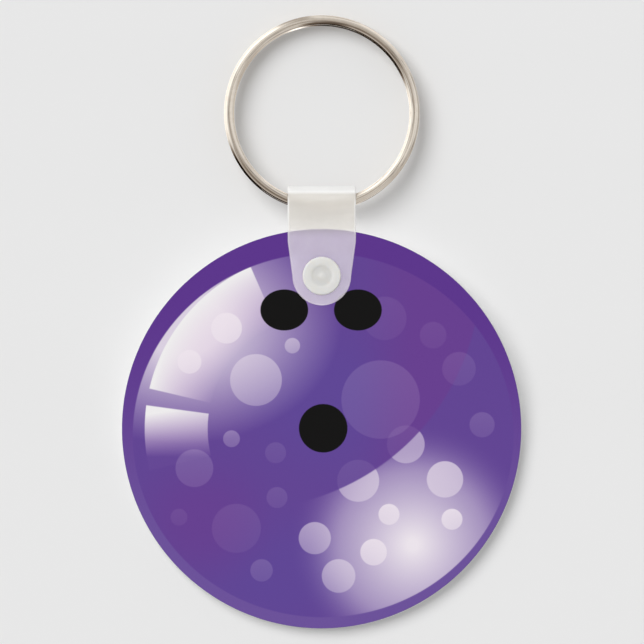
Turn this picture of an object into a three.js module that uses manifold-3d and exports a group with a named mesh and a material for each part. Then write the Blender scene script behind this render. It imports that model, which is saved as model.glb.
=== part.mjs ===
// Round key tag: a printed disc held by a folded snap strap on a split ring. Millimetres.
// X is right, Y is back and Z is up; the printed face looks along -Y and the tag hangs straight down.
// The origin is the top of the split ring's hole, where the ring rests on a hook or a finger.
import * as THREE from 'three';
import { mergeVertices } from 'three/addons/utils/BufferGeometryUtils.js';
import Module from 'manifold-3d';

// Split ring: two flat turns of one wire.
const RING_OUTER_RADIUS = 14;
const WIRE_RADIAL = 1.5;
const WIRE_AXIAL = 1.05;
const WIRE_CORNER_RADIUS = 0.42;
const TURN_GAP = 0.1;
const JOG_ANGLE = THREE.MathUtils.degToRad(30);
const RING_STEPS_PER_TURN = 72;
const WIRE_CORNER_SEGMENTS = 1;

// Strap: a flat strip folded over the wire, with both legs snapped together through the disc.
const STRAP_WIDTH = 9.75;
const STRAP_THICKNESS = 0.7;
const STRAP_END_LENGTH = 4.2;
const STRAP_END_HALF_WIDTH = 4.2;
const TAPER_BELOW_DISC_TOP = 1.8;
const LEG_INNER_Y = 1.2;
const FOLD_INNER_RADIUS = 1.6;
const FOLD_ABOVE_WIRE = 0.5;
const FOLD_LINER_THICKNESS = 0.3;
const FOLD_LINER_CLEARANCE = 0.05;
const OPENING_ANGLE_UP = THREE.MathUtils.degToRad(65);
const OPENING_GAP = 0.1;
const FOLD_STEPS = 32;
const BORE_SEGMENTS = 64;
const STRAP_END_SEGMENTS = 24;

// Disc: a white plastic core between a printed film and a plain one.
const DISC_RADIUS = 28.575;
const CORE_THICKNESS = 1.6;
const FILM_THICKNESS = 0.18;
const FILM_GAP = 0.02;
const DISC_HOLE_RADIUS = 2.5;
const DISC_SEGMENTS = 48;

// Snap: a stud through the front leg that clicks into a socket on the back leg.
const SNAP_BELOW_WIRE = 10.05;
const SNAP_ABOVE_DISC_CENTRE = 21.85;
const HEAD_RADIUS = 2.75;
const HEAD_THICKNESS = 1.05;
const HEAD_CLEARANCE = 0.03;
const RIM_CREST_RADIUS = 2.5;
const RIM_DEPTH = 0.25;
const RIM_STEPS = 4;
const DISH_LIP_RADIUS = 1.65;
const DISH_RADIUS = 1.3;
const DISH_DEPTH = 0.2;
const NUB_RADIUS = 0.25;
const NUB_FOOT_RADIUS = 0.75;
const NUB_DROP = 0.05;
const BACK_DISH_DEPTH = 0.2;
const POST_RADIUS = 1.15;
const BULB_RADIUS = 1.35;
const BULB_HALF_LENGTH = 0.5;
const BULB_Y = 1.15;
const BULB_STEPS = 5;
const SLEEVE_RADIUS = 2.1;
const SLEEVE_START_Y = 0.3;
const LIP_BORE_RADIUS = 1.6;
const LIP_LENGTH = 0.2;
const LIP_LEAD_IN = 0.1;
const SOCKET_BORE_RADIUS = 1.75;
const SOCKET_FLOOR = 0.55;
const HOLE_CLEARANCE = 0.08;
const SNAP_SEGMENTS = 40;

// Places that follow from the sizes above.
const RING_CENTRE_Z = WIRE_RADIAL - RING_OUTER_RADIUS;
const WIRE_RADIUS = RING_OUTER_RADIUS - WIRE_RADIAL / 2;
const WIRE_BOTTOM_Z = RING_CENTRE_Z - WIRE_RADIUS;
const FOLD_Z = WIRE_BOTTOM_Z + FOLD_ABOVE_WIRE;
const SNAP_Z = WIRE_BOTTOM_Z - SNAP_BELOW_WIRE;
const DISC_CENTRE_Z = SNAP_Z - SNAP_ABOVE_DISC_CENTRE;
const DISC_TOP_Z = DISC_CENTRE_Z + DISC_RADIUS;
const TAPER_Z = DISC_TOP_Z - TAPER_BELOW_DISC_TOP;
const LEG_MIDDLE_Y = LEG_INNER_Y + STRAP_THICKNESS / 2;
const LEG_OUTER_Y = LEG_INNER_Y + STRAP_THICKNESS;
const FOLD_MIDDLE_RADIUS = FOLD_INNER_RADIUS + STRAP_THICKNESS / 2;
const FOLD_OUTER_RADIUS = FOLD_INNER_RADIUS + STRAP_THICKNESS;
const LINER_OUTER_RADIUS = FOLD_INNER_RADIUS + FOLD_LINER_THICKNESS;
const FOLD_BORE_RADIUS = LINER_OUTER_RADIUS + FOLD_LINER_CLEARANCE;
const FAR = 80;
const SAME_POINT = 1e-5;

const wasm = await Module();
wasm.setup();

// A closed geometry as a solid that can be cut.
function solidOf(geometry) {
  const bare = geometry.clone();
  bare.deleteAttribute('normal');
  bare.deleteAttribute('uv');
  const merged = mergeVertices(bare, SAME_POINT);
  return new wasm.Manifold(new wasm.Mesh({
    numProp: 3,
    vertProperties: new Float32Array(merged.attributes.position.array),
    triVerts: new Uint32Array(merged.index.array),
  }));
}

function geometryOf(solid) {
  const mesh = solid.getMesh();
  const geometry = new THREE.BufferGeometry();
  geometry.setAttribute('position', new THREE.BufferAttribute(mesh.vertProperties, 3));
  geometry.setIndex(new THREE.BufferAttribute(mesh.triVerts, 1));
  geometry.computeVertexNormals();
  return geometry;
}

// A shape drawn in the XZ plane, extruded through the disc's thickness from yFront to yBack.
function extrudeThroughY(shape, yFront, yBack, curveSegments) {
  const depth = yBack - yFront;
  const geometry = new THREE.ExtrudeGeometry(shape, { depth, bevelEnabled: false, curveSegments });
  return geometry.rotateX(Math.PI / 2).translate(0, yBack, 0);
}

// A shape drawn in the YZ plane, extruded along X over a width centred on the middle.
function extrudeAcrossX(shape, width) {
  const geometry = new THREE.ExtrudeGeometry(shape, { depth: width, bevelEnabled: false });
  const axes = [new THREE.Vector3(0, 1, 0), new THREE.Vector3(0, 0, 1), new THREE.Vector3(1, 0, 0)];
  return geometry.applyMatrix4(new THREE.Matrix4().makeBasis(...axes)).translate(-width / 2, 0, 0);
}

function cylinderAlongX(radius, length, z) {
  const geometry = new THREE.CylinderGeometry(radius, radius, length, BORE_SEGMENTS);
  return geometry.rotateZ(Math.PI / 2).translate(0, 0, z);
}

function cylinderAlongY(radius, yFront, yBack, z) {
  const geometry = new THREE.CylinderGeometry(radius, radius, yBack - yFront, SNAP_SEGMENTS);
  return geometry.translate(0, (yFront + yBack) / 2, z);
}

// A point in the YZ plane at an angle round the fold's axis: 0 is back, 90 degrees is up.
function aroundFold(radius, angle) {
  return new THREE.Vector2(radius * Math.cos(angle), FOLD_Z + radius * Math.sin(angle));
}

// The outline of a band of constant thickness that follows a line of points.
function bandShape(line, thickness) {
  const sides = line.map((point, i) => {
    const before = line[Math.max(i - 1, 0)];
    const after = line[Math.min(i + 1, line.length - 1)];
    const into = point.clone().sub(before).normalize();
    const out = after.clone().sub(point).normalize();
    const along = into.clone().add(out).normalize();
    const bend = i === 0 || i === line.length - 1 ? 1 : along.dot(out);
    return new THREE.Vector2(-along.y, along.x).multiplyScalar(thickness / 2 / bend);
  });
  const left = line.map((point, i) => point.clone().add(sides[i]));
  const right = line.map((point, i) => point.clone().sub(sides[i]));
  return new THREE.Shape([...left, ...right.reverse()]);
}

// The strap's middle line seen from the side: up the front leg, over the wire and down the back leg.
function strapLine() {
  const knee = new THREE.Vector2(LEG_MIDDLE_Y, DISC_TOP_Z);
  const drop = FOLD_Z - knee.y;
  const slope = Math.acos(FOLD_MIDDLE_RADIUS / Math.hypot(knee.x, drop)) - Math.atan2(drop, knee.x);
  const endZ = SNAP_Z - STRAP_END_LENGTH;
  const line = [new THREE.Vector2(-knee.x, endZ), new THREE.Vector2(-knee.x, knee.y)];
  for (let i = 0; i <= FOLD_STEPS; i += 1) {
    const angle = Math.PI - slope - (i / FOLD_STEPS) * (Math.PI - 2 * slope);
    line.push(aroundFold(FOLD_MIDDLE_RADIUS, angle));
  }
  line.push(knee, new THREE.Vector2(knee.x, endZ));
  return line;
}

// The strap's outline seen from the front: straight sides, a slight taper and a round end.
function strapOutline() {
  const half = STRAP_WIDTH / 2;
  const shape = new THREE.Shape();
  shape.moveTo(-half, 0);
  shape.lineTo(-half, TAPER_Z);
  shape.lineTo(-STRAP_END_HALF_WIDTH, SNAP_Z);
  shape.absellipse(0, SNAP_Z, STRAP_END_HALF_WIDTH, STRAP_END_LENGTH, Math.PI, 2 * Math.PI, false);
  shape.lineTo(half, TAPER_Z);
  shape.lineTo(half, 0);
  return shape;
}

// Everything in front of a radial plane at the fold's top and of the middle plane below it.
function frontRegion(angleUp) {
  const shape = new THREE.Shape([
    new THREE.Vector2(0, FOLD_Z),
    new THREE.Vector2(0, -FAR),
    new THREE.Vector2(-FAR, -FAR),
    new THREE.Vector2(-FAR, FOLD_Z),
    aroundFold(FAR, Math.PI - angleUp),
  ]);
  return solidOf(extrudeAcrossX(shape, FAR));
}

function strapLegs() {
  const band = solidOf(extrudeAcrossX(bandShape(strapLine(), STRAP_THICKNESS), STRAP_WIDTH));
  const outline = solidOf(extrudeThroughY(strapOutline(), -FAR, FAR, STRAP_END_SEGMENTS));
  const bore = solidOf(cylinderAlongX(FOLD_BORE_RADIUS, FAR, FOLD_Z));
  const strip = band.intersect(outline).subtract(bore);
  const halfGap = OPENING_GAP / 2 / FOLD_OUTER_RADIUS;
  const postHole = solidOf(cylinderAlongY(POST_RADIUS + HOLE_CLEARANCE, -FAR, 0, SNAP_Z));
  const sleeveHole = solidOf(cylinderAlongY(SLEEVE_RADIUS + HOLE_CLEARANCE, 0, FAR, SNAP_Z));
  return {
    front: geometryOf(strip.intersect(frontRegion(OPENING_ANGLE_UP - halfGap)).subtract(postHole)),
    back: geometryOf(strip.subtract(frontRegion(OPENING_ANGLE_UP + halfGap)).subtract(sleeveHole)),
  };
}

// The fold's inner face, which stays round the wire while the rest of the strap swings about it.
function foldLiner() {
  const line = [];
  for (let i = 0; i <= FOLD_STEPS; i += 1) {
    line.push(aroundFold(FOLD_INNER_RADIUS + FOLD_LINER_THICKNESS / 2, Math.PI * (1 - i / FOLD_STEPS)));
  }
  return extrudeAcrossX(bandShape(line, FOLD_LINER_THICKNESS), STRAP_WIDTH);
}

// The wire's middle line: one turn in front, a diagonal jog at the bottom and one turn behind.
class SplitRingLine extends THREE.Curve {
  getPoint(t, target = new THREE.Vector3()) {
    const angle = JOG_ANGLE / 2 + t * (4 * Math.PI - JOG_ANGLE);
    const jog = THREE.MathUtils.smoothstep(angle, 2 * Math.PI - JOG_ANGLE / 2, 2 * Math.PI + JOG_ANGLE / 2);
    const y = (jog - 0.5) * (WIRE_AXIAL + TURN_GAP);
    return target.set(WIRE_RADIUS * Math.sin(angle), y, RING_CENTRE_Z - WIRE_RADIUS * Math.cos(angle));
  }
}

function wireSection() {
  const x = WIRE_AXIAL / 2 - WIRE_CORNER_RADIUS;
  const y = WIRE_RADIAL / 2 - WIRE_CORNER_RADIUS;
  const corners = [[x, -y], [x, y], [-x, y], [-x, -y]];
  const shape = new THREE.Shape();
  corners.forEach(([cx, cy], i) => {
    const start = (i - 1) * Math.PI / 2;
    shape.absarc(cx, cy, WIRE_CORNER_RADIUS, start, start + Math.PI / 2, false);
  });
  return shape;
}

function splitRing() {
  return new THREE.ExtrudeGeometry(wireSection(), {
    steps: 2 * RING_STEPS_PER_TURN,
    curveSegments: WIRE_CORNER_SEGMENTS,
    extrudePath: new SplitRingLine(),
  });
}

// One layer of the disc, with the hole that the snap goes through.
function discLayer(yFront, yBack) {
  const shape = new THREE.Shape();
  shape.absarc(0, DISC_CENTRE_Z, DISC_RADIUS, 0, 2 * Math.PI, false);
  const hole = new THREE.Path();
  hole.absarc(0, SNAP_Z, DISC_HOLE_RADIUS, 0, 2 * Math.PI, true);
  shape.holes.push(hole);
  return extrudeThroughY(shape, yFront, yBack, DISC_SEGMENTS);
}

// A turned piece round the snap's axis, from a profile of [radius, y] points, listed from front to back.
function turnedOnSnap(profile) {
  const points = profile.map(([radius, y]) => new THREE.Vector2(radius, y));
  return new THREE.LatheGeometry(points, SNAP_SEGMENTS).translate(0, 0, SNAP_Z);
}

// A snap head's rounded rim, from the crest on its face round to its seat against the strap.
function headRim(face, seat) {
  const inwards = Math.sign(seat - face);
  const points = [];
  for (let i = 0; i <= RIM_STEPS; i += 1) {
    const angle = (i / RIM_STEPS) * (Math.PI / 2);
    const radius = RIM_CREST_RADIUS + (HEAD_RADIUS - RIM_CREST_RADIUS) * Math.sin(angle);
    points.push([radius, face + inwards * RIM_DEPTH * (1 - Math.cos(angle))]);
  }
  return [...points, [HEAD_RADIUS, seat]];
}

// The stud's round bulb, from its neck on the post to its tip.
function bulb() {
  const neck = -Math.acos(POST_RADIUS / BULB_RADIUS);
  const points = [];
  for (let i = 0; i <= BULB_STEPS; i += 1) {
    const angle = neck + (i / BULB_STEPS) * (Math.PI / 2 - neck);
    const radius = i === BULB_STEPS ? 0 : BULB_RADIUS * Math.cos(angle);
    points.push([radius, BULB_Y + BULB_HALF_LENGTH * Math.sin(angle)]);
  }
  return points;
}

// A flat button with a rounded rim, a shallow dish and a small centre nub, a post and a round bulb.
function snapStud() {
  const seat = -LEG_OUTER_Y - HEAD_CLEARANCE;
  const face = seat - HEAD_THICKNESS;
  return turnedOnSnap([
    [0, face + NUB_DROP],
    [NUB_RADIUS, face + NUB_DROP],
    [NUB_FOOT_RADIUS, face + DISH_DEPTH],
    [DISH_RADIUS, face + DISH_DEPTH],
    [DISH_LIP_RADIUS, face],
    ...headRim(face, seat),
    [POST_RADIUS, seat],
    ...bulb(),
  ]);
}

// A button whose sleeve goes through the back leg into the disc's hole, with a lip that grips the bulb.
function snapSocket() {
  const seat = LEG_OUTER_Y + HEAD_CLEARANCE;
  const face = seat + HEAD_THICKNESS;
  const lipEnd = SLEEVE_START_Y + LIP_LENGTH;
  return turnedOnSnap([
    [0, face - SOCKET_FLOOR],
    [SOCKET_BORE_RADIUS, face - SOCKET_FLOOR],
    [SOCKET_BORE_RADIUS, lipEnd + LIP_LEAD_IN],
    [LIP_BORE_RADIUS, lipEnd],
    [LIP_BORE_RADIUS + LIP_LEAD_IN, SLEEVE_START_Y],
    [SLEEVE_RADIUS, SLEEVE_START_Y],
    [SLEEVE_RADIUS, seat],
    ...headRim(face, seat).reverse(),
    [DISH_LIP_RADIUS, face],
    [DISH_RADIUS, face - BACK_DISH_DEPTH],
    [0, face - BACK_DISH_DEPTH],
  ]);
}

const CORE_Y = CORE_THICKNESS / 2;
const FILM_INNER_Y = CORE_Y + FILM_GAP;
const FILM_OUTER_Y = FILM_INNER_Y + FILM_THICKNESS;

const nickel = () => new THREE.MeshStandardMaterial({ color: 0xcfc4b8, roughness: 0.18, metalness: 1 });
const vinyl = () => new THREE.MeshStandardMaterial({ color: 0xdedad6, roughness: 0.35, metalness: 0 });
const ivoryPlastic = () => new THREE.MeshStandardMaterial({ color: 0xebe9e4, roughness: 0.4, metalness: 0 });
const whitePlastic = () => new THREE.MeshStandardMaterial({ color: 0xf1f0f2, roughness: 0.45, metalness: 0 });
const printedFilm = () => new THREE.MeshStandardMaterial({ color: 0x643f96, roughness: 0.3, metalness: 0 });

const tag = new THREE.Group();

function addPiece(name, geometry, material) {
  const mesh = new THREE.Mesh(geometry, material);
  mesh.name = name;
  tag.add(mesh);
}

const legs = strapLegs();
addPiece('split_ring', splitRing(), nickel());
addPiece('strap_fold_liner', foldLiner(), vinyl());
addPiece('strap_back_leg', legs.back, vinyl());
addPiece('strap_front_leg', legs.front, vinyl());
addPiece('snap_stud', snapStud(), ivoryPlastic());
addPiece('snap_socket', snapSocket(), ivoryPlastic());
addPiece('core_disc', discLayer(-CORE_Y, CORE_Y), whitePlastic());
addPiece('front_print', discLayer(-FILM_OUTER_Y, -FILM_INNER_Y), printedFilm());
addPiece('back_film', discLayer(FILM_INNER_Y, FILM_OUTER_Y), whitePlastic());

export default tag;
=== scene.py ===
"""Looks of a round key tag: a printed disc held by a milky snap strap on a metal split ring.

Lengths are millimetres, and MM turns them into the frame's metres. X is right, Y is back and Z is up.
"""

import math

import bmesh
import bpy
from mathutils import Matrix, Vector


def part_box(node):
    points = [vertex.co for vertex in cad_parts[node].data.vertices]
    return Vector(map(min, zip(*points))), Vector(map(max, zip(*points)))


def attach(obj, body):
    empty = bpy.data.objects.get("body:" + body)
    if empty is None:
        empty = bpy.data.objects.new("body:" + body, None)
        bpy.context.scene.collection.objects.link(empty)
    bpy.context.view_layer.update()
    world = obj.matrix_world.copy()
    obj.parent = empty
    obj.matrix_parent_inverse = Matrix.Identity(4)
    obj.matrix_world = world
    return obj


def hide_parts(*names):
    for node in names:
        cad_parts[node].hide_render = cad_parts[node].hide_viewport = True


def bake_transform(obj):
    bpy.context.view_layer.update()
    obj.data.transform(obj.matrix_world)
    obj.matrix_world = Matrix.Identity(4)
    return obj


MM = 0.001
# Points closer together than this, in metres, are one point.
MERGE_DISTANCE = 1e-7
ROUND_OFF = 1e-9

# Split ring.
TURN_GAP = 0.1
WIRE_RADIAL = 1.5
WIRE_SQUARENESS = 2.25
WIRE_SECTION_POINTS = 40
RING_STEPS_PER_TURN = 200
JOG_ANGLE = math.radians(30)
WIRE_END_CHAMFER = 0.25
# The cut ends' rounding: share of the chamfer's length from the end, and the section's scale there.
WIRE_END_SHAPE = ((0, 0.6), (0.25, 0.82), (1, 1))

# Strap.
STRAP_THICKNESS = 0.7
STRAP_CORNER_RADIUS = 0.24
STRAP_END_LENGTH = 4.2
STRAP_END_HALF_WIDTH = 4.2
TAPER_BELOW_DISC_TOP = 1.8
LEG_MIDDLE_Y = 1.55
FOLD_MIDDLE_RADIUS = 1.95
FOLD_STEPS = 48
STRAP_STEP = 0.3
STRAP_END_STEPS = 24
STRAP_CORNER_STEPS = 5
STRAP_FACE_STEPS = 12
STRAP_TIP_HALF_WIDTH = 0.02
HOLE_CLEARANCE = 0.08

# Disc.
DISC_HOLE_RADIUS = 2.5
DISC_SEGMENTS = 256
CORE_EDGE_BEVEL = 0.12
FILM_EDGE_BEVEL = 0.05
DISC_SHARP_ANGLE = math.radians(50)
PRINT_INSET = 0.05
PRINT_SHIFT = (-0.03, 0.03)

# Snap.
SNAP_SEGMENTS = 96
HEAD_RADIUS = 2.75
HEAD_THICKNESS = 1.05
RIM_CREST_RADIUS = 2.5
RIM_DEPTH = 0.25
DISH_LIP_RADIUS = 1.65
DISH_RADIUS = 1.35
DISH_DEPTH = 0.13
NUB_RADIUS = 0.2
NUB_FOOT_RADIUS = 0.7
NUB_DROP = 0.03
POST_RADIUS = 1.15
BULB_RADIUS = 1.35
BULB_HALF_LENGTH = 0.5
BULB_Y = 1.15
SLEEVE_RADIUS = 2.1
SLEEVE_START_Y = 0.3
LIP_BORE_RADIUS = 1.6
LIP_LENGTH = 0.2
LIP_LEAD_IN = 0.1
SOCKET_BORE_RADIUS = 1.75
SOCKET_FLOOR = 0.55
BACK_DISH_DEPTH = 0.2
PROFILE_ROUNDING = 0.22
STUD_SEAT_ROUNDING = 0.08
SOCKET_BORE_ROUNDING = 0.06
DISH_LIP_DROP = 0.01
ROUNDING_STEPS = 4
RIM_STEPS = 12
BULB_STEPS = 16


def box_mm(node):
    """The lowest and highest corner of a CAD node, in millimetres."""
    low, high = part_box(node)
    return low / MM, high / MM


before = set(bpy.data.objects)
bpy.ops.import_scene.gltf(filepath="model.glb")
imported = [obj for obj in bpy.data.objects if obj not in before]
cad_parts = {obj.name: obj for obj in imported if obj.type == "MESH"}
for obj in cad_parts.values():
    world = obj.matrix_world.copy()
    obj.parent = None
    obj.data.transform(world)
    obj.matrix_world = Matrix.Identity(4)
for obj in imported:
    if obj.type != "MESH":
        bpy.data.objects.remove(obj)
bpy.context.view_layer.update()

# Places that follow from the frame.
ring_low, ring_high = box_mm("split_ring")
RING_OUTER_RADIUS = (ring_high.x - ring_low.x) / 2
RING_CENTRE_Z = (ring_high.z + ring_low.z) / 2
WIRE_RADIUS = RING_OUTER_RADIUS - WIRE_RADIAL / 2
WIRE_AXIAL = ring_high.y - TURN_GAP / 2
FOLD_Z = box_mm("strap_fold_liner")[0].z
STRAP_HALF_WIDTH = box_mm("strap_back_leg")[1].x
core_low, core_high = box_mm("core_disc")
DISC_RADIUS = (core_high.x - core_low.x) / 2
DISC_CENTRE_Z = (core_high.z + core_low.z) / 2
DISC_TOP_Z = core_high.z
TAPER_Z = DISC_TOP_Z - TAPER_BELOW_DISC_TOP
stud_low, stud_high = box_mm("snap_stud")
socket_high = box_mm("snap_socket")[1]
SNAP_Z = (stud_high.z + stud_low.z) / 2
HEAD_FACE_Y = -stud_low.y
STRAP_END_Z = SNAP_Z - STRAP_END_LENGTH


# ---------------------------------------------------------------- meshes

def smooth(share):
    """Eases a share of 0 to 1, so that it is level at both ends."""
    return share * share * (3 - 2 * share)


def new_object(name, data):
    """A new object in the scene."""
    obj = bpy.data.objects.new(name, data)
    bpy.context.scene.collection.objects.link(obj)
    return obj


def add_mesh(name, points, faces):
    """A smooth mesh object from points in millimetres, doubled points merged and normals outwards."""
    mesh = bpy.data.meshes.new(name)
    mesh.from_pydata([Vector(point) * MM for point in points], [], faces)
    shape = bmesh.new()
    shape.from_mesh(mesh)
    bmesh.ops.remove_doubles(shape, verts=shape.verts, dist=MERGE_DISTANCE)
    bmesh.ops.recalc_face_normals(shape, faces=shape.faces)
    shape.to_mesh(mesh)
    shape.free()
    mesh.shade_smooth()
    return new_object(name, mesh)


def skin(rings):
    """Faces that join closed rings of points in order, with a cap on the first and the last ring."""
    count = len(rings[0])
    faces = []
    for i in range(len(rings) - 1):
        here = i * count
        there = here + count
        for j in range(count):
            k = (j + 1) % count
            faces.append((here + j, here + k, there + k, there + j))
    last = (len(rings) - 1) * count
    faces.append(tuple(range(count)))
    faces.append(tuple(range(last, last + count)))
    return faces


def add_skin(name, rings):
    """A closed mesh from rings of points, such as a wire or a band."""
    return add_mesh(name, [point for ring in rings for point in ring], skin(rings))


def flat_shading_of_flats(obj):
    """Keeps large flat faces flat where they meet a small rounded edge."""
    weighted = obj.modifiers.new("flat_faces_stay_flat", "WEIGHTED_NORMAL")
    weighted.weight = 100
    weighted.keep_sharp = True


def shortened(step, limit):
    """A step of the same direction, no longer than the limit or half its length."""
    return step.normalized() * min(limit, step.length / 2)


def rounded(points, radius):
    """An open line of 2-D points with each inner corner replaced by a short curve."""
    corners = [Vector(point) for point in points]
    line = [corners[0]]
    for before, corner, after in zip(corners, corners[1:], corners[2:]):
        start = corner + shortened(before - corner, radius)
        end = corner + shortened(after - corner, radius)
        for i in range(ROUNDING_STEPS + 1):
            t = i / ROUNDING_STEPS
            line.append(start.lerp(corner, t).lerp(corner.lerp(end, t), t))
    line.append(corners[-1])
    return line


def turned(name, profile, centre_z, segments):
    """A solid turned round an axis along Y, from (radius, y) points that start and end on the axis."""
    points = []
    for radius, y in profile:
        for i in range(segments):
            angle = 2 * math.pi * i / segments
            points.append((radius * math.cos(angle), y, centre_z + radius * math.sin(angle)))
    faces = []
    for row in range(len(profile) - 1):
        for i in range(segments):
            j = (i + 1) % segments
            here = row * segments
            faces.append((here + i, here + j, here + segments + j, here + segments + i))
    return add_mesh(name, points, faces)


# ---------------------------------------------------------------- split ring

def wire_centre(angle):
    """The wire's middle line: one turn in front, a jog at the bottom and one turn behind."""
    jog = (angle - 2 * math.pi + JOG_ANGLE / 2) / JOG_ANGLE
    jog = smooth(min(max(jog, 0.0), 1.0))
    y = (jog - 0.5) * (WIRE_AXIAL + TURN_GAP)
    return y, Vector((math.sin(angle), 0, -math.cos(angle)))


def wire_section(scale):
    """A rounded, slightly crowned section, as (outwards, back) pairs."""
    section = []
    for i in range(WIRE_SECTION_POINTS):
        angle = 2 * math.pi * i / WIRE_SECTION_POINTS
        c, s = math.cos(angle), math.sin(angle)
        out = math.copysign(abs(c) ** (2 / WIRE_SQUARENESS), c) * WIRE_RADIAL / 2
        back = math.copysign(abs(s) ** (2 / WIRE_SQUARENESS), s) * WIRE_AXIAL / 2
        section.append((out * scale, back * scale))
    return section


def ring_stations():
    """Angles along the two turns and the section's scale at each, smaller at the two cut ends."""
    first, last = JOG_ANGLE / 2, 4 * math.pi - JOG_ANGLE / 2
    chamfer = WIRE_END_CHAMFER / WIRE_RADIUS
    steps = 2 * RING_STEPS_PER_TURN
    stations = [(first + chamfer * share, scale) for share, scale in WIRE_END_SHAPE]
    for i in range(1, steps):
        stations.append((first + (last - first) * i / steps, 1))
    stations += [(last - chamfer * share, scale) for share, scale in reversed(WIRE_END_SHAPE)]
    return stations


def make_ring():
    """The split ring: the wire's section swept along both turns."""
    rings = []
    for angle, scale in ring_stations():
        y, outwards = wire_centre(angle)
        ring = []
        for out, back in wire_section(scale):
            radius = WIRE_RADIUS + out
            ring.append((outwards.x * radius, y + back, RING_CENTRE_Z + outwards.z * radius))
        rings.append(ring)
    return add_skin("ring_wire", rings)


# ---------------------------------------------------------------- strap

def strap_path():
    """The strap's middle line as (y, z) points: up the front, over the wire and down the back."""
    knee = Vector((LEG_MIDDLE_Y, DISC_TOP_Z))
    drop = FOLD_Z - knee.y
    reach = math.hypot(knee.x, drop)
    slope = math.acos(FOLD_MIDDLE_RADIUS / reach) - math.atan2(drop, knee.x)
    corners = [(-knee.x, STRAP_END_Z), (-knee.x, knee.y)]
    for i in range(FOLD_STEPS + 1):
        angle = math.pi - slope - i / FOLD_STEPS * (math.pi - 2 * slope)
        height = FOLD_Z + FOLD_MIDDLE_RADIUS * math.sin(angle)
        corners.append((FOLD_MIDDLE_RADIUS * math.cos(angle), height))
    corners += [(knee.x, knee.y), (knee.x, STRAP_END_Z)]
    return [Vector(corner) for corner in corners]


def half_width_at(z):
    """Half the strap's width at a height on its legs: straight, then a slight taper, then a round end."""
    if z >= TAPER_Z:
        return STRAP_HALF_WIDTH
    if z >= SNAP_Z:
        share = (TAPER_Z - z) / (TAPER_Z - SNAP_Z)
        return STRAP_HALF_WIDTH + share * (STRAP_END_HALF_WIDTH - STRAP_HALF_WIDTH)
    drop = (SNAP_Z - z) / STRAP_END_LENGTH
    return STRAP_END_HALF_WIDTH * math.sqrt(max(1 - drop * drop, 0.0))


def resampled(path):
    """Points along the path, one step apart and closer at both round ends."""
    lengths = [0.0]
    for a, b in zip(path, path[1:]):
        lengths.append(lengths[-1] + (b - a).length)
    total = lengths[-1]
    straight = total - 2 * STRAP_END_LENGTH
    marks = []
    for i in range(STRAP_END_STEPS):
        marks.append(STRAP_END_LENGTH * (1 - math.cos(math.pi / 2 * i / STRAP_END_STEPS)))
    middle_steps = int(straight / STRAP_STEP)
    for i in range(middle_steps + 1):
        marks.append(STRAP_END_LENGTH + straight * i / middle_steps)
    marks += [total - mark for mark in reversed(marks[:STRAP_END_STEPS])]
    points = []
    for mark in marks:
        k = max(i for i in range(len(path) - 1) if lengths[i] <= mark + ROUND_OFF)
        span = lengths[k + 1] - lengths[k]
        points.append(path[k].lerp(path[k + 1], (mark - lengths[k]) / span))
    return points


def strip_section(half_width):
    """A rounded rectangle as (across, through) pairs, half_width by half the thickness."""
    half = STRAP_THICKNESS / 2
    corner = min(STRAP_CORNER_RADIUS, half_width)
    section = []
    for quarter in range(4):
        centre_x = (half_width - corner) * (1 if quarter in (0, 3) else -1)
        centre_y = (half - STRAP_CORNER_RADIUS) * (1 if quarter in (0, 1) else -1)
        for i in range(STRAP_CORNER_STEPS + 1):
            angle = math.pi / 2 * (quarter + i / STRAP_CORNER_STEPS)
            across = centre_x + corner * math.cos(angle)
            through = centre_y + STRAP_CORNER_RADIUS * math.sin(angle)
            section.append((across, through))
        if quarter in (0, 2):
            face = half if quarter == 0 else -half
            for i in range(1, STRAP_FACE_STEPS):
                section.append((centre_x * (1 - 2 * i / STRAP_FACE_STEPS), face))
    return section


def make_strap():
    """One strip: a flat band swept along the path, with rounded edges and both ends round."""
    points = resampled(strap_path())
    rings = []
    for i, point in enumerate(points):
        before = points[max(i - 1, 0)]
        after = points[min(i + 1, len(points) - 1)]
        along = (after - before).normalized()
        out = Vector((-along.y, along.x))
        ring = []
        for across, through in strip_section(max(half_width_at(point.y), STRAP_TIP_HALF_WIDTH)):
            place = point + out * through
            ring.append((across, place.x, place.y))
        rings.append(ring)
    return add_skin("snap_strap", rings)


def cut_hole(obj, radius, y_from, y_to):
    """Cuts a round hole along Y through one leg of the strap, round the snap's axis."""
    profile = [(0, y_from), (radius, y_from), (radius, y_to), (0, y_to)]
    drill = turned("drill", profile, SNAP_Z, SNAP_SEGMENTS)
    cut = obj.modifiers.new("hole", "BOOLEAN")
    cut.operation = "DIFFERENCE"
    cut.object = drill
    bpy.context.view_layer.objects.active = obj
    bpy.ops.object.modifier_apply(modifier=cut.name)
    bpy.data.objects.remove(drill)


# ---------------------------------------------------------------- disc

def circle(shape, centre_x, centre_z, radius, y, count):
    """New points of a shape, evenly spaced on a circle round an axis along Y."""
    points = []
    for i in range(count):
        angle = 2 * math.pi * i / count
        place = (centre_x + radius * math.cos(angle), y, centre_z + radius * math.sin(angle))
        points.append(shape.verts.new(place))
    return points


def edges_of(shape, loop):
    """The edges of a closed loop of points."""
    return [shape.edges.get(pair) for pair in zip(loop, loop[1:] + loop[:1])]


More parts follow.
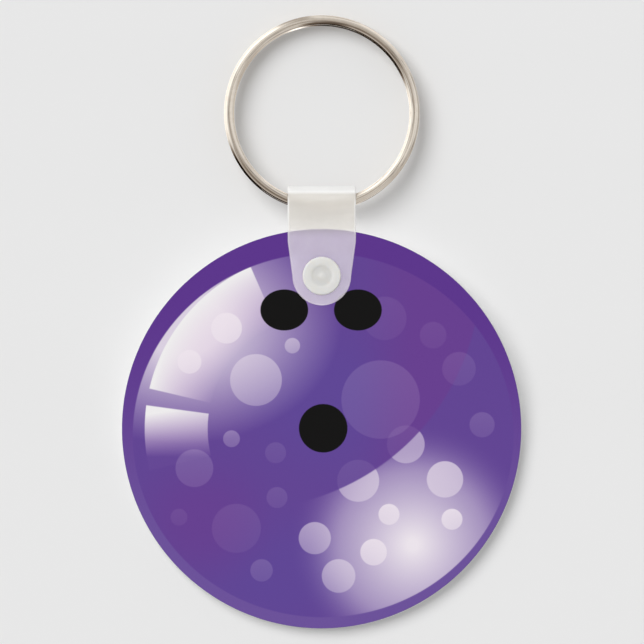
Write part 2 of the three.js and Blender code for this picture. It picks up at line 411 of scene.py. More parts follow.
def disc_layer(name, node, radius, shift, bevel):
    """One layer of the disc, as thick as its node: a round sheet with broken edges and the snap's hole."""
    low, high = box_mm(node)
    front, back = low.y, high.y
    # The outline's first and last points only say where its corners come from, so they are left out.
    outline = rounded([(radius - 1, front), (radius, front), (radius, back), (radius - 1, back)], bevel)[1:-1]
    shape = bmesh.new()
    centre_x, centre_z = shift[0], DISC_CENTRE_Z + shift[1]
    rims = [circle(shape, centre_x, centre_z, rim_radius, y, DISC_SEGMENTS) for rim_radius, y in outline]
    holes = [circle(shape, 0, SNAP_Z, DISC_HOLE_RADIUS, y, SNAP_SEGMENTS) for y in (front, back)]
    for one, other in list(zip(rims, rims[1:])) + [tuple(holes)]:
        for i in range(len(one)):
            j = (i + 1) % len(one)
            shape.faces.new((one[i], one[j], other[j], other[i]))
    for rim, hole in ((rims[0], holes[0]), (rims[-1], holes[1])):
        edges = edges_of(shape, rim) + edges_of(shape, hole)
        bmesh.ops.triangle_fill(shape, use_beauty=True, edges=edges)
    bmesh.ops.recalc_face_normals(shape, faces=shape.faces)
    bmesh.ops.scale(shape, vec=(MM, MM, MM), verts=shape.verts)
    mesh = bpy.data.meshes.new(name)
    shape.to_mesh(mesh)
    shape.free()
    mesh.shade_smooth()
    mesh.set_sharp_from_angle(angle=DISC_SHARP_ANGLE)
    return new_object(name, mesh)


# ---------------------------------------------------------------- snap

def head_rim(face, seat):
    """A snap head's rim, from the crest on its face round to its seat."""
    inwards = math.copysign(1, seat - face)
    rim = []
    for i in range(RIM_STEPS + 1):
        angle = math.pi / 2 * i / RIM_STEPS
        radius = RIM_CREST_RADIUS + (HEAD_RADIUS - RIM_CREST_RADIUS) * math.sin(angle)
        rim.append((radius, face + inwards * RIM_DEPTH * (1 - math.cos(angle))))
    return rim


def bulb():
    """The stud's bulb, from its neck on the post to its tip."""
    neck = -math.acos(POST_RADIUS / BULB_RADIUS)
    line = []
    for i in range(BULB_STEPS + 1):
        angle = neck + (math.pi / 2 - neck) * i / BULB_STEPS
        radius = 0 if i == BULB_STEPS else BULB_RADIUS * math.cos(angle)
        line.append((radius, BULB_Y + BULB_HALF_LENGTH * math.sin(angle)))
    return line


def make_stud():
    """Front button: a soft nub in a shallow dish, a rounded rim, then the post and its bulb."""
    face, seat = stud_low.y, stud_low.y + HEAD_THICKNESS
    dish = [
        (0, face + NUB_DROP),
        (NUB_RADIUS, face + NUB_DROP),
        (NUB_FOOT_RADIUS, face + DISH_DEPTH),
        (DISH_RADIUS, face + DISH_DEPTH),
        (DISH_LIP_RADIUS, face + DISH_LIP_DROP),
        (RIM_CREST_RADIUS, face),
    ]
    front = rounded(dish, PROFILE_ROUNDING)
    underside = [(HEAD_RADIUS, face + RIM_DEPTH), (HEAD_RADIUS, seat), (POST_RADIUS, seat), bulb()[0]]
    back = rounded(underside, STUD_SEAT_ROUNDING)
    profile = front[:-1] + head_rim(face, seat)[:-1] + back[:-1] + bulb()
    return turned("snap_stud_button", profile, SNAP_Z, SNAP_SEGMENTS)


def make_socket():
    """Back button: a sleeve with a grip lip inside, and a head with a shallow dish."""
    face, seat = socket_high.y, socket_high.y - HEAD_THICKNESS
    lip_end = SLEEVE_START_Y + LIP_LENGTH
    inside = [
        (0, face - SOCKET_FLOOR),
        (SOCKET_BORE_RADIUS, face - SOCKET_FLOOR),
        (SOCKET_BORE_RADIUS, lip_end + LIP_LEAD_IN),
        (LIP_BORE_RADIUS, lip_end),
        (LIP_BORE_RADIUS, SLEEVE_START_Y + LIP_LEAD_IN),
        (LIP_BORE_RADIUS + LIP_LEAD_IN, SLEEVE_START_Y),
        (SLEEVE_RADIUS, SLEEVE_START_Y),
        (SLEEVE_RADIUS, seat),
        (HEAD_RADIUS, seat),
        (HEAD_RADIUS, face - RIM_DEPTH),
    ]
    dish = [
        (RIM_CREST_RADIUS, face),
        (DISH_LIP_RADIUS, face - DISH_LIP_DROP),
        (DISH_RADIUS, face - BACK_DISH_DEPTH),
        (0, face - BACK_DISH_DEPTH),
    ]
    rim = head_rim(face, seat)[::-1]
    profile = rounded(inside, SOCKET_BORE_ROUNDING)[:-1] + rim[:-1] + rounded(dish, PROFILE_ROUNDING)
    return turned("snap_socket_button", profile, SNAP_Z, SNAP_SEGMENTS)


# ---------------------------------------------------------------- materials

DISPLAY_GAMMA = 2.2


class Nodes:
    """Short calls that add nodes to one node tree."""

    def __init__(self, tree):
        self.nodes = tree.nodes
        self.links = tree.links

    def put(self, socket, value):
        """Links a node's output to a socket, or sets the socket to a plain value."""
        if isinstance(value, bpy.types.NodeSocket):
            self.links.new(value, socket)
        else:
            socket.default_value = value

    def add(self, kind, inputs=(), **settings):
        """A new node with its settings and its first inputs, where None leaves an input as it is."""
        node = self.nodes.new(kind)
        for name, value in settings.items():
            setattr(node, name, value)
        for index, value in enumerate(inputs):
            if value is not None:
                self.put(node.inputs[index], value)
        return node

    def math(self, operation, *inputs):
        return self.add("ShaderNodeMath", inputs, operation=operation).outputs[0]

    def vector(self, operation, *inputs):
        node = self.add("ShaderNodeVectorMath", inputs, operation=operation)
        scalar = operation in ("DISTANCE", "LENGTH", "DOT_PRODUCT")
        return node.outputs["Value" if scalar else "Vector"]

    def split(self, vector):
        return self.add("ShaderNodeSeparateXYZ", (vector,)).outputs

    def join(self, x, y, z):
        return self.add("ShaderNodeCombineXYZ", (x, y, z)).outputs[0]

    def step(self, value, low, high, to_low=0.0, to_high=1.0, kind="SMOOTHSTEP"):
        """Turns value from to_low at low to to_high at high."""
        node = self.add("ShaderNodeMapRange", (value, low, high, to_low, to_high), interpolation_type=kind)
        return node.outputs[0]

    def mix(self, share, colour_a, colour_b):
        """Colour a at a share of 0 and colour b at 1."""
        node = self.add("ShaderNodeMix", data_type="RGBA")
        self.put(node.inputs[0], share)
        self.put(node.inputs[6], colour_a)
        self.put(node.inputs[7], colour_b)
        return node.outputs[2]

    def noise(self, place, scale, detail=2.0, roughness=0.5):
        node = self.add("ShaderNodeTexNoise", (place, None, scale, detail, roughness))
        return node.outputs[0]


class Shader(Nodes):
    """The nodes of one new material."""

    def __init__(self, name):
        self.material = bpy.data.materials.new(name)
        self.material.use_nodes = True
        super().__init__(self.material.node_tree)
        self.surface = self.nodes["Principled BSDF"]

    def millimetres(self):
        """The point on the piece at rest, in millimetres."""
        place = self.add("ShaderNodeTexCoord").outputs["Object"]
        return self.vector("MULTIPLY", place, (1 / MM,) * 3)

    def bump(self, height, distance, strength=1.0):
        """A fine relief; distance is its full height in millimetres."""
        node = self.add("ShaderNodeBump")
        node.inputs["Strength"].default_value = strength
        node.inputs["Distance"].default_value = distance * MM
        self.put(node.inputs["Height"], height)
        return node.outputs[0]

    def set(self, **inputs):
        """Sets the surface's own inputs by name, to a value or to another node's output."""
        names = {socket.name.lower().replace(" ", "_"): socket for socket in self.surface.inputs}
        for name, value in inputs.items():
            self.put(names[name], value)


def grey(level):
    """A linear grey."""
    return (level, level, level, 1.0)


def shown(red, green, blue):
    """A linear colour from display levels of 0 to 255."""
    return tuple((level / 255) ** DISPLAY_GAMMA for level in (red, green, blue)) + (1.0,)


NICKEL_TONES = ((0.84, 0.765, 0.67, 1), (0.80, 0.715, 0.615, 1))
# Painted reflection lines in the metal's colour: their half width, their dark tone and the tone between them.
PAINTED_LINE_HALF_WIDTH = 0.028
PAINTED_LINE_TONE, BETWEEN_PAINTED_LINES_TONE = 0.68, 1.03


def nickel():
    """Bright nickel plate: draw lines along the wire, thin dark lines of painted reflection along it, and
    faint handling marks.
    """
    s = Shader("bright_nickel")
    place = s.millimetres()
    x, y, z = s.split(place)
    z = s.math("SUBTRACT", z, RING_CENTRE_Z)
    along = s.math("ABSOLUTE", s.math("ARCTAN2", z, x))
    radius = s.math("SQRT", s.math("ADD", s.math("MULTIPLY", x, x), s.math("MULTIPLY", z, z)))

    def stretched(along_scale, radius_scale, y_scale):
        """A place for a pattern that runs along the wire."""
        scaled = zip((along, radius, y), (along_scale, radius_scale, y_scale))
        return s.join(*(s.math("MULTIPLY", value, scale) for value, scale in scaled))

    draw = s.noise(stretched(2.5, 14.0, 14.0), 1.0, 3.0)
    marks = s.noise(place, 0.8, 4.0, 0.65)
    # Painted reflection: a thin dark line, standing for a dark streak reflected in the metal, runs wherever a
    # slow pattern passes its middle value.
    wander = s.noise(stretched(0.75, 2.6, 1.0), 1.0, 1.0)
    off_line = s.math("ABSOLUTE", s.math("SUBTRACT", wander, 0.5))
    painted_reflection_lines = s.step(off_line, 0.0, PAINTED_LINE_HALF_WIDTH, PAINTED_LINE_TONE, BETWEEN_PAINTED_LINES_TONE)
    rough = s.math("ADD", s.step(draw, 0.3, 0.7, 0.02, 0.05), s.step(marks, 0.45, 0.75, 0.0, 0.03))
    tone = s.mix(s.step(marks, 0.35, 0.7), *NICKEL_TONES)
    tone = s.vector("SCALE", tone, None, None, painted_reflection_lines)
    s.set(base_color=tone, metallic=1.0, roughness=rough, normal=s.bump(draw, 0.004))
    return s.material


# Cloudy tones of the vinyl, tinted lilac: the tint is painted light bounced back from the purple disc.
VINYL_TONES_PAINTED_LILAC = ((0.98, 0.915, 0.97, 1), (0.99, 0.93, 0.985, 1))
# Greyer cream above the disc: painted shade between the strap's two legs.
VINYL_PAINTED_SHADE_ABOVE_DISC = (0.80, 0.77, 0.72, 1)
# White of the cut edges, partly their thicker vinyl and partly a painted highlight on their rounding, and of
# a painted highlight along the fold's crest.
VINYL_EDGE_WHITE_AND_HIGHLIGHT = (0.99, 0.99, 0.98, 1)
# Where each zone of the vinyl starts and is full: heights at rest, and a share of the half width.
ABOVE_DISC_ZONE = (DISC_TOP_Z - 1.5, DISC_TOP_Z + 0.2)
FOLD_ZONE = (FOLD_Z - 3.4, FOLD_Z - 0.6)
CREST_ZONE = (FOLD_Z + 1.0, FOLD_Z + 1.55)
EDGE_ZONE = (0.93, 0.995)
EDGE_BELOW_CREST_ZONE = (FOLD_Z + 1.2, FOLD_Z - 0.5)
# How dense the vinyl is, and how much more in each zone: at its edges over the disc and above it.
VINYL_ALPHA = (0.305, 0.33)
EDGE_ALPHA = (0.10, 0.28)
FOLD_ALPHA = 0.27
# More density along the crest, where its painted highlight lies.
CREST_ALPHA = 0.22


def vinyl():
    """Milky soft vinyl: slightly cloudy with a painted lilac tint of light bounced from the disc, painted
    shade above the disc, whiter along the cut edges where it is thicker and with a painted highlight, and a
    painted highlight at the fold's crest.
    """
    s = Shader("milky_vinyl")
    rest = s.add("ShaderNodeAttribute", attribute_name="rest_mm").outputs["Vector"]
    edge_share = s.add("ShaderNodeAttribute", attribute_name="edge_share").outputs["Fac"]
    z = s.split(rest)[2]
    cloud = s.noise(rest, 0.35, 3.0)
    fine = s.noise(rest, 9.0, 2.0)
    above = s.step(z, *ABOVE_DISC_ZONE)
    fold = s.step(z, *FOLD_ZONE)
    crest = s.step(z, *CREST_ZONE)
    edge = s.math("MULTIPLY", s.step(edge_share, *EDGE_ZONE), s.step(z, *EDGE_BELOW_CREST_ZONE))
    # Cloudy tone, with the painted lilac of light bounced from the disc.
    colour = s.mix(s.step(cloud, 0.3, 0.7), *VINYL_TONES_PAINTED_LILAC)
    # Painted shade between the legs above the disc.
    colour = s.mix(above, colour, VINYL_PAINTED_SHADE_ABOVE_DISC)
    # Whiter cut edges above the disc, partly thicker vinyl and partly painted highlight, and a painted
    # highlight along the fold's crest.
    colour = s.mix(s.math("MAXIMUM", s.math("MULTIPLY", edge, above), crest), colour, VINYL_EDGE_WHITE_AND_HIGHLIGHT)
    alpha = s.step(cloud, 0.3, 0.7, *VINYL_ALPHA)
    for zone, more in ((edge, s.step(above, 0, 1, *EDGE_ALPHA)), (fold, FOLD_ALPHA), (crest, CREST_ALPHA)):
        alpha = s.math("ADD", alpha, s.math("MULTIPLY", zone, more))
    rough = s.step(fine, 0.3, 0.7, 0.30, 0.40)
    s.set(base_color=colour, alpha=alpha, roughness=rough, ior=1.53, normal=s.bump(cloud, 0.05, 0.5))
    return s.material


COOL_WHITE = (0.875, 0.875, 0.88, 1)
PLAIN_WHITE = (0.895, 0.895, 0.895, 1)
IVORY_TONES = ((0.775, 0.77, 0.75, 1), (0.80, 0.795, 0.775, 1))
IVORY_IN_DISH = (0.725, 0.72, 0.70, 1)


def moulded_plastic(name, colour_a, colour_b, roughness):
    """Smooth moulded plastic: very slight tone drift and a fine satin grain."""
    s = Shader(name)
    place = s.millimetres()
    drift = s.noise(place, 0.5, 3.0)
    grain = s.noise(place, 16.0, 2.0)
    tone = s.mix(s.step(drift, 0.3, 0.7), colour_a, colour_b)
    rough = s.step(grain, 0.3, 0.7, roughness - 0.05, roughness + 0.06)
    s.set(base_color=tone, roughness=rough, normal=s.bump(grain, 0.004))
    return s.material


def snap_plastic():
    """Slightly translucent moulded ivory plastic, a shade darker in the head's dish."""
    s = Shader("snap_ivory")
    place = s.millimetres()
    height = s.math("ABSOLUTE", s.split(place)[1])
    drift = s.noise(place, 0.5, 3.0)
    grain = s.noise(place, 16.0, 2.0)
    tone = s.mix(s.step(drift, 0.3, 0.7), *IVORY_TONES)
    tone = s.mix(s.step(height, HEAD_FACE_Y - 0.03, HEAD_FACE_Y - DISH_DEPTH), tone, IVORY_IN_DISH)
    rough = s.step(grain, 0.3, 0.7, 0.31, 0.42)
    s.set(base_color=tone, roughness=rough, normal=s.bump(grain, 0.004))
    s.set(subsurface_weight=1.0, subsurface_radius=(1.0, 0.95, 0.85), subsurface_scale=0.5 * MM)
    return s.material


# Printed picture of a glossy ball. Places are millimetres from the disc's centre, colours display levels.
PRINT_EDGE = 0.16
BALL_BODY = (98, 69, 148)
BALL_BLUE = (95, 71, 151)
BALL_MAGENTA = (104, 63, 144)
RIM_TOP = (92, 54, 140)
RIM_BOTTOM = (108, 82, 155)
LIGHT = (240, 232, 240)
WINDOW_WHITE = (243, 241, 242)
WINDOW_PINK = (243, 214, 236)
BUBBLE_WHITE = (242, 232, 241)
HOLE = (9, 9, 9)
# How much the ink's tone varies from place to place, as a share.
PRINT_GRAIN = 0.03
# Tints of the ball's body: centre, size, how far it reaches in sizes, strength and colour.
BODY_TINTS = (
    ((0, 5), (14, 12), 1.2, 0.9, BALL_BLUE),
    ((-6, -21), (13, 10), 1.2, 0.8, BALL_BLUE),
    ((-17, -13), (9, 8), 1.4, 0.7, BALL_MAGENTA),
)
TINT_CORE = 0.2
WARM_SIDE = (4, 14)
WARM_STRENGTH = 0.9
LENS_CENTRE = (0.2, -0.9)
LENS_SIZE = (27.2, 26.0)
LENS_EDGE = 0.004
RIM_FADE = (20, -18)
WINDOW_INNER = 16.3
WINDOW_OUTER = 25.3
WINDOW_FADE = 8.7
UPPER_PANE = (113.7, 166.8)
LOWER_PANE = (172.3, 193.5)
PANE_EDGE = 0.25
# Each pane's share of white at its faint end.
UPPER_PANE_LOW, LOWER_PANE_LOW = 0.03, 0.02
LOWER_PANE_FADE = (-4.0, 2.6)
LOWER_PANE_SIDES = (0.83, 1.1)
SHADE_CENTRE = (-11.0, 22.3)
SHADE_RADIUS = 33.7
GLOSS_CENTRE = (-20.0, 15.0)
GLOSS_SIZE = (20.0, 15.0)
GLOSS_FADE = (1.14, 0.295)
GLOSS_STRENGTH = 0.87
GLOW_CENTRE = (13.0, -16.5)
GLOW_RADIUS = 19.4
GLOW_FADE = (18, 10)
GLOW_STRENGTH = 1.04
FINGER_HOLES = ((-5.36, 17.0), (5.16, 17.0))
FINGER_HOLE_SIZE = (3.4, 2.92)
THUMB_HOLE = (0.2, 0.1)
THUMB_HOLE_RADIUS = 3.45
# Each bubble: x, z, radius and strength of its white, which grows from the low to the high factor upwards.
BUBBLE_LOW, BUBBLE_HIGH = 0.80, 1.16
BUBBLES = (
    (-13.6, 14.4, 2.2, 0.74), (-18.9, 9.6, 1.7, 0.70), (-9.4, 7.0, 3.7, 0.40), (-4.2, 11.9, 1.1, 0.42),
    (-12.9, -1.4, 1.2, 0.26), (-18.2, -5.6, 2.7, 0.14), (-6.6, -3.4, 1.5, 0.08), (-20.4, -12.6, 1.2, 0.06),
    (-12.2, -14.2, 3.5, 0.07), (-6.4, -9.8, 1.5, 0.09), (-8.6, -20.2, 1.6, 0.13), (22.9, 0.6, 1.8, 0.12),
    (9.0, 15.8, 3.1, 0.06), (15.9, 13.4, 1.9, 0.06), (19.6, 8.6, 2.4, 0.08), (8.4, 4.2, 5.6, 0.11),
)
# These lie on the glow, and keep only this share of their white above the shade's edge.
LIT_BUBBLES_ABOVE_SHADE = 0.13
LIT_BUBBLES = (
    (-1.0, -15.6, 2.3, 0.46), (2.4, -21.0, 2.4, 0.44), (5.2, -7.4, 3.0, 0.52), (12.0, -2.2, 2.7, 0.50),
    (17.6, -7.2, 2.6, 0.58), (9.6, -12.2, 1.5, 0.74), (18.6, -12.9, 1.5, 0.74), (7.4, -17.6, 1.9, 0.72),
)


def levels(colour):
    """A colour of the print, still in display values, from levels of 0 to 255."""
    return tuple(level / 255 for level in colour) + (1.0,)


class Picture(Shader):
    """The printed picture, painted in layers from the back to the front."""

    def __init__(self, name):
        super().__init__(name)
        self.place = self.vector("SUBTRACT", self.millimetres(), (0, 0, DISC_CENTRE_Z))
        self.x, _, self.z = self.split(self.place)
        self.flat = self.join(self.x, 0.0, self.z)
        shade = self.distance(SHADE_CENTRE)
        self.below_shade = self.step(shade, SHADE_RADIUS - PRINT_EDGE, SHADE_RADIUS + PRINT_EDGE)
        self.colour = levels(BALL_BODY)

    def paint(self, share, colour):
        """Lays a colour over the picture so far; a share of 1 hides it."""
        self.colour = self.mix(share, self.colour, colour)

    def times(self, one, other):
        return self.math("MULTIPLY", one, other)

    def distance(self, centre):
        return self.vector("DISTANCE", self.flat, (centre[0], 0, centre[1]))

    def ellipse(self, centre, size):
        """Distance from a centre in which 1 is the ellipse's edge."""
        offset = self.vector("SUBTRACT", self.flat, (centre[0], 0, centre[1]))
        return self.vector("LENGTH", self.vector("DIVIDE", offset, (size[0], 1, size[1])))

    def within(self, distance, radius):
        """1 within a radius and 0 beyond it."""
        return self.step(distance, radius + PRINT_EDGE / 2, radius - PRINT_EDGE / 2)

    def beyond(self, distance, radius):
        """1 beyond a radius and 0 within it."""
        return self.step(distance, radius - PRINT_EDGE / 2, radius + PRINT_EDGE / 2)

    def bubble(self, centre_x, centre_z, radius, strength):
        """A printed bubble's share of white, stronger towards its top."""
        low, high = centre_z - radius, centre_z + radius
        white = self.step(self.z, low, high, strength * BUBBLE_LOW, strength * BUBBLE_HIGH, "LINEAR")
        return self.times(self.within(self.distance((centre_x, centre_z)), radius), white)

    def paint_body(self):
        """Bluish in the middle and below, warmer at the lower left and at the right above the shade."""
        for centre, size, reach, strength, colour in BODY_TINTS:
            self.paint(self.step(self.ellipse(centre, size), reach, TINT_CORE, 0, strength), levels(colour))
        above_shade = self.math("SUBTRACT", 1.0, self.below_shade)
        warm = self.times(self.step(self.x, *WARM_SIDE), above_shade)
        self.paint(self.times(warm, WARM_STRENGTH), levels(BALL_MAGENTA))

    def paint_lights(self):
        """Gloss at the upper left, and a glow at the lower right only below the shade's edge."""
        gloss = self.step(self.ellipse(GLOSS_CENTRE, GLOSS_SIZE), *GLOSS_FADE, 0, GLOSS_STRENGTH, "LINEAR")
        self.paint(gloss, levels(LIGHT))
        distance = self.distance(GLOW_CENTRE)
        glow = self.step(distance, GLOW_RADIUS, 0, 0, GLOW_STRENGTH, "LINEAR")
        glow = self.times(glow, self.step(distance, *GLOW_FADE))
        self.paint(self.times(glow, self.below_shade), levels(LIGHT))

    def paint_window(self):
        """Two panes of one ring, the upper brighter outwards and the lower brighter upwards."""
        radius = self.vector("LENGTH", self.flat)
        angle = self.times(self.math("ARCTAN2", self.z, self.x), 180 / math.pi)
        angle = self.math("MODULO", self.math("ADD", angle, 360.0), 360.0)
        ring = self.times(self.beyond(radius, WINDOW_INNER), self.within(radius, WINDOW_OUTER))
        outwards = self.step(radius, WINDOW_INNER, WINDOW_INNER + WINDOW_FADE, UPPER_PANE_LOW, 1, "LINEAR")
        upwards = self.times(self.step(self.z, *LOWER_PANE_FADE, LOWER_PANE_LOW, 1, "LINEAR"),
                             self.step(radius, WINDOW_INNER, WINDOW_OUTER, *LOWER_PANE_SIDES, "LINEAR"))
        for (start, end), fade in ((UPPER_PANE, outwards), (LOWER_PANE, upwards)):
            pane = self.times(ring, self.step(angle, start - PANE_EDGE, start + PANE_EDGE))
            pane = self.times(pane, self.step(angle, end + PANE_EDGE, end - PANE_EDGE))
            tint = self.mix(fade, levels(WINDOW_PINK), levels(WINDOW_WHITE))
            self.paint(self.times(pane, fade), tint)

    def paint_rim(self):
        """The darker band outside the lens, lighter towards its bottom."""
        band = self.mix(self.step(self.z, *RIM_FADE), levels(RIM_TOP), levels(RIM_BOTTOM))
        lens = self.ellipse(LENS_CENTRE, LENS_SIZE)
        self.paint(self.step(lens, 1 - LENS_EDGE, 1 + LENS_EDGE), band)

    def paint_bubbles(self):
        """Round white bubbles, fainter above the shade's edge where they cross it."""
        white = levels(BUBBLE_WHITE)
        for row in BUBBLES:
            self.paint(self.bubble(*row), white)
        lit = self.step(self.below_shade, 0, 1, LIT_BUBBLES_ABOVE_SHADE, 1.0)
        for row in LIT_BUBBLES:
            self.paint(self.times(self.bubble(*row), lit), white)

    def paint_holes(self):
        """The finger holes, printed flat."""
        across = FINGER_HOLE_SIZE[0]
        for centre in FINGER_HOLES:
            edge = PRINT_EDGE / 2 / across
            hole = self.step(self.ellipse(centre, FINGER_HOLE_SIZE), 1 + edge, 1 - edge)
            self.paint(hole, levels(HOLE))
        self.paint(self.within(self.distance(THUMB_HOLE), THUMB_HOLE_RADIUS), levels(HOLE))


def print_film():
    """The printed front: the picture under a glossy film."""
    s = Picture("printed_film")
    s.paint_body()
    s.paint_lights()
    s.paint_window()
    s.paint_rim()
    s.paint_bubbles()
    s.paint_holes()
    ink = s.add("ShaderNodeGamma", (s.colour, DISPLAY_GAMMA)).outputs[0]
    grain = s.noise(s.place, 14.0, 2.0)
    drift = s.vector("MULTIPLY_ADD", grain, (PRINT_GRAIN,) * 3, (1 - PRINT_GRAIN / 2,) * 3)
    ink = s.vector("MULTIPLY", ink, drift)
    ripple = s.noise(s.place, 0.7, 2.0)
    rough = s.step(grain, 0.3, 0.7, 0.24, 0.32)
    s.set(base_color=ink, roughness=rough, specular_ior_level=0.2, normal=s.bump(ripple, 0.01))
    return s.material


# ---------------------------------------------------------------- the object

def finish_piece(obj, body, slot, material, *replaced):
    """Gives a piece its material and body, and hides the CAD nodes that it replaces. The slot is not used."""
    obj.data.materials.append(material)
    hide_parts(*replaced)
    if body:
        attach(obj, body)
    return obj


def keep_rest_places(obj):
    """Stores each point's place at rest and its share of the half width, for the vinyl's pattern."""
    places, shares = [], []
    for vertex in obj.data.vertices:
        place = vertex.co / MM
        places.extend(place)
        below = min(place.z - SNAP_Z, 0.0) / STRAP_END_LENGTH
        half_width = half_width_at(max(place.z, SNAP_Z))
        shares.append(min(math.hypot(place.x / half_width, below), 1.0))
    obj.data.attributes.new("rest_mm", "FLOAT_VECTOR", "POINT").data.foreach_set("vector", places)
    obj.data.attributes.new("edge_share", "FLOAT", "POINT").data.foreach_set("value", shares)


def build_object():
    """Every piece of the tag, with its material and the CAD nodes that it replaces."""
    ring = make_ring()
    finish_piece(ring, "ring", "ring_metal", nickel(), "split_ring")

    core = disc_layer("disc_core_sheet", "core_disc", DISC_RADIUS, (0, 0), CORE_EDGE_BEVEL)
    core_white = moulded_plastic("core_white", COOL_WHITE, PLAIN_WHITE, 0.45)
    finish_piece(core, "disc", "disc_core", core_white, "core_disc")
    film_radius = DISC_RADIUS - PRINT_INSET
    film = disc_layer("disc_front_print", "front_print", film_radius, PRINT_SHIFT, FILM_EDGE_BEVEL)
    finish_piece(film, "disc", "print_film", print_film(), "front_print")
    plain = disc_layer("disc_back_film", "back_film", film_radius, (0, 0), FILM_EDGE_BEVEL)
    back_white = moulded_plastic("back_white", PLAIN_WHITE, COOL_WHITE, 0.38)
    finish_piece(plain, "disc", "back_film", back_white, "back_film")

    ivory = snap_plastic()
    stud = finish_piece(make_stud(), "strap_front", "snap_plastic", ivory, "snap_stud")
    stud.visible_shadow = False
    finish_piece(make_socket(), "strap_back", "snap_plastic", ivory, "snap_socket")

    strap = make_strap()
    cut_hole(strap, POST_RADIUS + HOLE_CLEARANCE, stud_low.y, 0)
    cut_hole(strap, SLEEVE_RADIUS + HOLE_CLEARANCE, 0, socket_high.y)
    keep_rest_places(strap)
    nodes = ("strap_fold_liner", "strap_back_leg", "strap_front_leg")
    finish_piece(strap, None, "strap_vinyl", vinyl(), *nodes)
    strap.visible_shadow = False
    strap.visible_diffuse = False
    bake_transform(strap)

    for obj in (core, film, plain):
        flat_shading_of_flats(obj)


# ---------------------------------------------------------------- stage, light and camera

WALL_GREY = 0.84
# The wall seen from the side, as (z, y) points from below the disc to above the ring.
WALL_PROFILE = ((-130, 1.06), (-64, 1.06), (-40, 3.4), (-31, 3.8), (-13, 2.6), (2, 1.6), (60, 1.6))
WALL_BOTTOM, WALL_TOP = -112, 24
WALL_ROWS = 140
WALL_HALF_WIDTH = 64
WALL_FADE = (50, 62)
# How far behind itself the wall looks for the tag, and the openness there at which it is clear and solid.
WALL_CLEAR_REACH = 90
WALL_CLEAR_FADE = (0.90, 0.995)
WALL_CLEAR_SAMPLES = 8
FLOOR_Z = -200
FLOOR_HALF_WIDTH = 4000
CAMERA_DISTANCE = 900
CAMERA_X = 0.03
CAMERA_ABOVE_DISC = 15.28
FRAME_WIDTH = 92
SENSOR_WIDTH = 36
# Clip distances are in metres.
CAMERA_CLIP = (0.01, 20)

# A sun's direction is the way its light travels.
AMBIENT = 0.49
KEY_STRENGTH = 1.79
KEY_DIRECTION = (0.52, 1.0, -0.48)
BACK_STRENGTH = 1.3
BACK_DIRECTION = (0.3, -1.0, -0.5)
# In degrees across.
SUN_SOFTNESS = 42
BACKDROP = (231, 231, 231)
# What shiny metal reflects. A card is its middle, full half-width and half-width where it ends, which are
# angles round the viewing axis from the right, then where it starts and where it is full, which are angles
# away from the viewer, then its factor. Dark parts are warmer: each channel has a power of the darkness.
GLOSS_LEVEL = 0.72
GLOSS_WARMTH = (0.0, 0.13, 0.24)
CARDS = (
    (152, 28, 50, 16, 38, 1.78),
    (126, 10, 28, 72, 45, 1.30),
    (78, 20, 44, 20, 70, 1.35),
    (238, 29, 46, 42, 60, 0.02),
    (268, 8, 20, 10, 25, 0.22),
    (272, 14, 26, 88, 118, 3.0),
    (235, 24, 42, 3, 9, 0.42),
    (235, 24, 42, 12, 40, 1.8),
    (70, 42, 62, 24, 12, 0.80),
    (106, 4, 13, 15, 30, 0.55),
    (318, 25, 50, 5, 20, 0.90),
    (50, 15, 38, 50, 20, 0.86),
    (330, 8, 20, 15, 25, 0.85),
    (6, 18, 36, 60, 32, 1.20),
)
# One more card, a small round one: direction, angles where it starts and where it is full, and factor.
FRONT_SPOT = ((-0.07, -0.99, -0.07), 12, 5, 0.42)


def wall_y(z):
    """The wall's distance behind the middle of the tag at a height, on a smooth curve."""
    for (low, y_low), (high, y_high) in zip(WALL_PROFILE, WALL_PROFILE[1:]):
        if low <= z <= high:
            return y_low + smooth((z - low) / (high - low)) * (y_high - y_low)
    return WALL_PROFILE[-1][1]


def wall_material():
    """A pale sheet, seen only from the front, faded round its edge and clear before what is behind it."""
    s = Shader("stage_wall")
    x, _, z = s.split(s.millimetres())
    off_z = s.math("ABSOLUTE", s.math("SUBTRACT", z, DISC_CENTRE_Z + CAMERA_ABOVE_DISC))
    off = s.math("MAXIMUM", s.math("ABSOLUTE", x), off_z)
    fade = s.step(off, WALL_FADE[1], WALL_FADE[0])
    front = s.math("SUBTRACT", 1.0, s.add("ShaderNodeNewGeometry").outputs["Backfacing"])
    behind = s.add("ShaderNodeAmbientOcclusion", inside=True, samples=WALL_CLEAR_SAMPLES)
    behind.inputs["Distance"].default_value = WALL_CLEAR_REACH * MM
    clear = s.step(behind.outputs["AO"], *WALL_CLEAR_FADE)
    # One shading normal all over keeps the sheet's bends from showing.
    facing = s.join(0.0, -1.0, 0.0)
    s.set(base_color=grey(WALL_GREY), roughness=1.0, specular_ior_level=0.0, normal=facing)
    s.set(alpha=s.math("MULTIPLY", s.math("MULTIPLY", fade, front), clear))
    return s.material


def make_wall():
    """The pale sheet behind the tag: only the camera sees it, and it catches the tag's shadows."""
    points = []
    for i in range(WALL_ROWS + 1):
        z = WALL_BOTTOM + (WALL_TOP - WALL_BOTTOM) * i / WALL_ROWS
        points += [(-WALL_HALF_WIDTH, wall_y(z), z), (WALL_HALF_WIDTH, wall_y(z), z)]
    faces = [(2 * i, 2 * i + 1, 2 * i + 3, 2 * i + 2) for i in range(WALL_ROWS)]
    mesh = bpy.data.meshes.new("stage_wall")
    mesh.from_pydata([Vector(point) * MM for point in points], [], faces)
    mesh.shade_smooth()
    wall = new_object("stage_wall", mesh)
    mesh.materials.append(wall_material())
    wall.visible_diffuse = False
    wall.visible_glossy = False
    wall.visible_transmission = False
    wall.visible_shadow = False


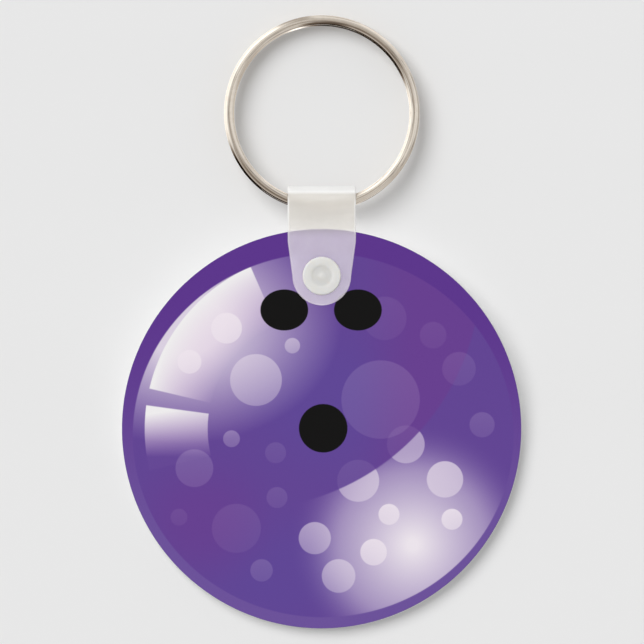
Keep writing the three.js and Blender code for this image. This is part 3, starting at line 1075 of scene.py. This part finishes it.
def make_floor():
    """A floor far below, in the backdrop's own colour and without shadows."""
    mesh = bpy.data.meshes.new("stage_floor")
    half = FLOOR_HALF_WIDTH
    corners = [(-half, -half), (half, -half), (half, half), (-half, half)]
    mesh.from_pydata([Vector((x, y, FLOOR_Z)) * MM for x, y in corners], [], [(0, 1, 2, 3)])
    floor = new_object("stage_floor", mesh)
    s = Shader("stage_floor")
    s.set(base_color=grey(0.0), roughness=1.0, specular_ior_level=0.0)
    s.set(emission_color=shown(*BACKDROP), emission_strength=1.0)
    mesh.materials.append(s.material)
    floor.visible_glossy = False
    floor.visible_diffuse = False
    floor.visible_shadow = False


def add_sun(name, direction, strength):
    """A soft sun that shiny pieces don't reflect."""
    data = bpy.data.lights.new(name, "SUN")
    data.energy = strength
    data.angle = math.radians(SUN_SOFTNESS)
    sun = new_object(name, data)
    sun.rotation_mode = "QUATERNION"
    sun.rotation_quaternion = Vector(direction).to_track_quat("-Z", "Y")
    sun.visible_glossy = False


def studio(n):
    """The brightness that shiny metal reflects from each direction: soft cards round the viewing axis."""
    aim = n.add("ShaderNodeTexCoord").outputs["Generated"]
    side = n.vector("NORMALIZE", n.vector("MULTIPLY", aim, (1, 0, 1)))
    front = (0, -1, 0)

    def towards(vector, direction, start_angle, full_angle):
        """1 within full_angle of a direction, falling to 0 at start_angle."""
        start, full = (math.cos(math.radians(angle)) for angle in (start_angle, full_angle))
        return n.step(n.vector("DOT_PRODUCT", vector, direction), start, full)

    direction, start, full, factor = FRONT_SPOT
    gloss = n.math("MULTIPLY", towards(aim, direction, start, full), GLOSS_LEVEL * (factor - 1))
    gloss = n.math("ADD", gloss, GLOSS_LEVEL)
    for middle, full_width, end_width, start, full, factor in CARDS:
        angle = math.radians(middle)
        around = towards(side, (math.cos(angle), 0, math.sin(angle)), end_width, full_width)
        away = towards(aim, front, start, full)
        share = n.math("MULTIPLY", around, away)
        gloss = n.math("MULTIPLY", gloss, n.math("ADD", n.math("MULTIPLY", share, factor - 1), 1.0))
    return gloss


def make_world():
    """An even pale backdrop and even light, and for gloss a studio of soft cards."""
    world = bpy.data.worlds.new("studio")
    bpy.context.scene.world = world
    world.use_nodes = True
    n = Nodes(world.node_tree)
    n.nodes.clear()
    gloss = studio(n)
    dark = n.math("MINIMUM", n.math("DIVIDE", gloss, GLOSS_LEVEL), 1.0)
    warm = n.join(*(n.math("MULTIPLY", n.math("POWER", dark, power), gloss) for power in GLOSS_WARMTH))
    ray = n.add("ShaderNodeLightPath").outputs
    level = n.mix(ray["Is Glossy Ray"], grey(AMBIENT), warm)
    colour = n.mix(ray["Is Camera Ray"], level, shown(*BACKDROP))
    background = n.add("ShaderNodeBackground", (colour,))
    n.add("ShaderNodeOutputWorld", (background.outputs[0],))


def make_camera():
    """A camera straight in front, whose picture is FRAME_WIDTH wide at the disc's printed face."""
    data = bpy.data.cameras.new("camera")
    data.sensor_width = SENSOR_WIDTH
    front_y = box_mm("front_print")[0].y
    data.lens = SENSOR_WIDTH * (CAMERA_DISTANCE + front_y) / FRAME_WIDTH
    data.clip_start, data.clip_end = CAMERA_CLIP
    camera = new_object("camera", data)
    camera.location = Vector((CAMERA_X, -CAMERA_DISTANCE, DISC_CENTRE_Z + CAMERA_ABOVE_DISC)) * MM
    camera.rotation_euler = (math.radians(90), 0, 0)
    bpy.context.scene.camera = camera


build_object()
make_wall()
make_floor()
make_world()
add_sun("key", KEY_DIRECTION, KEY_STRENGTH)
add_sun("back_light", BACK_DIRECTION, BACK_STRENGTH)
make_camera()
bpy.context.scene.view_settings.view_transform = "Standard"
